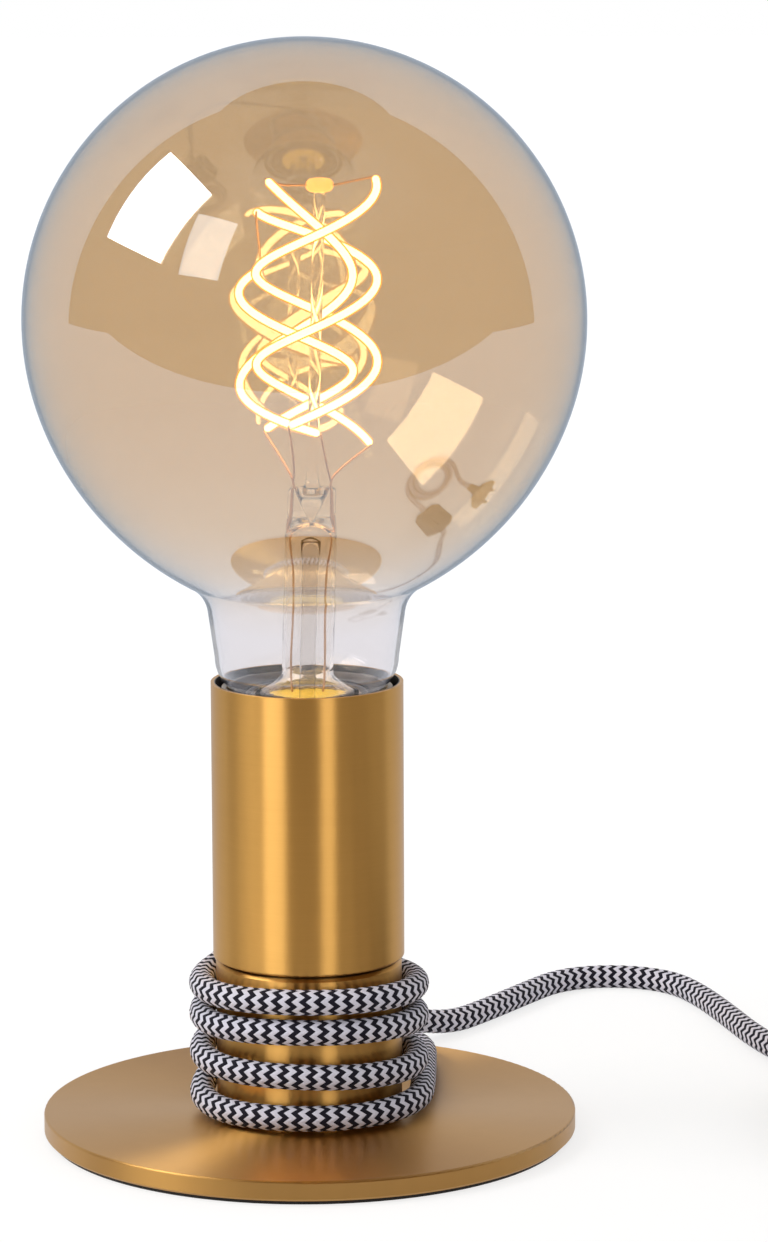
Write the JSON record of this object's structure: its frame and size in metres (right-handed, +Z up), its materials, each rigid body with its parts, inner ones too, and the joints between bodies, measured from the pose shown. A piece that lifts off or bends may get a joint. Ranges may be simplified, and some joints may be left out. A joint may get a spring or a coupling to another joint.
{
  "type": "bare bulb table lamp",
  "caption": "Table lamp with a round brass foot, a cord-wound spool column, a brass cup lampholder and a large bare globe bulb with spiral filaments.",
  "frame": {"origin": "centre of the underside of the foot, on the table", "axes": "+Z up along the lamp's axis, -Y towards the viewer of the picture, +X to the right, where the cord leaves"},
  "size_m": [0.2581, 0.2377, 0.2478],
  "materials": {
    "felt_pad": "dense black felt",
    "satin_brass": "satin brushed, lacquered",
    "plated_steel": "zinc plated",
    "black_plastic": "moulded, fine grain",
    "holder_metal": "satin",
    "holder_insulator": "black thermoset",
    "contact_brass": "bright",
    "tin_contact": "tinned",
    "cap_metal": "bright, yellow-gold",
    "vitrite": "black glass",
    "amber_glass": "amber-coated clear glass",
    "clear_glass": "clear",
    "filament_glow": "soft glowing filament",
    "wire_metal": "nickel-iron wire",
    "board_green": "printed board",
    "component_dark": "moulded components",
    "wire_brown": "insulated core",
    "wire_blue": "insulated core",
    "braid_black_white": "black and white zigzag textile braid"
  },
  "bodies": {
    "root": {"base_pad": "felt_pad", "base_plate": "satin_brass", "foot_screws": "plated_steel", "column_ring": "plated_steel", "spool_column": "satin_brass", "outlet_bush": "black_plastic", "gap_washer": "black_plastic", "holder_cup": "satin_brass", "threaded_tube": "plated_steel", "toothed_washer": "plated_steel", "column_nut": "plated_steel", "cord_grip": "black_plastic", "grip_screw": "black_plastic", "holder_skirt": "holder_metal", "holder_dome": "holder_insulator", "holder_core": "holder_insulator", "screw_shell": "contact_brass", "centre_contact": "contact_brass", "terminal_posts": "contact_brass", "terminal_screws": "plated_steel", "cord_inner": "braid_black_white", "live_lead": "wire_brown", "neutral_lead": "wire_blue", "cord_winding": "braid_black_white", "cord_exit": "braid_black_white", "cord_run": "braid_black_white", "cord_coil": "braid_black_white", "cord_link": "braid_black_white", "cord_tail": "braid_black_white", "switch_base": "black_plastic", "switch_cover": "black_plastic", "switch_screws": "plated_steel", "rocker_bearings": "contact_brass", "switch_contacts": "contact_brass", "plug_body": "black_plastic", "plug_relief": "black_plastic", "plug_pins": "tin_contact", "pin_sleeves": "black_plastic"},
    "bulb_tip": {"cap_contact": "tin_contact"},
    "bulb": {"cap_insulator": "vitrite", "cap_shell": "cap_metal", "glass_envelope": "amber_glass", "glass_stem": "clear_glass", "exhaust_tube": "clear_glass", "centre_rod": "clear_glass", "rod_button": "clear_glass", "support_wires": "wire_metal", "filament_right": "filament_glow", "filament_left": "filament_glow", "lead_in_wires": "wire_metal", "driver_board": "board_green", "driver_parts": "component_dark"},
    "rocker": {"switch_rocker": "black_plastic"}
  },
  "joints": [
    {"name": "bulb_lift", "type": "slide", "parent": "root", "child": "bulb_tip", "axis": [0, 0, 1], "range_m": [0, 0.018]},
    {"name": "bulb_turn", "type": "hinge", "parent": "bulb_tip", "child": "bulb", "pos_m": [0, 0, 0.09], "axis": [0, 0, 1], "range_deg": [0, 1786.1]},
    {"name": "switch_rocker_tilt", "type": "hinge", "parent": "root", "child": "rocker", "pos_m": [0.118, 0.0015, 0.012], "axis": [1, 0, 0], "range_deg": [-16, 0]}
  ],
  "couplings": [
    {"joint": "bulb_turn", "follows": "bulb_lift", "rad_per_m": 1731.4}
  ]
}
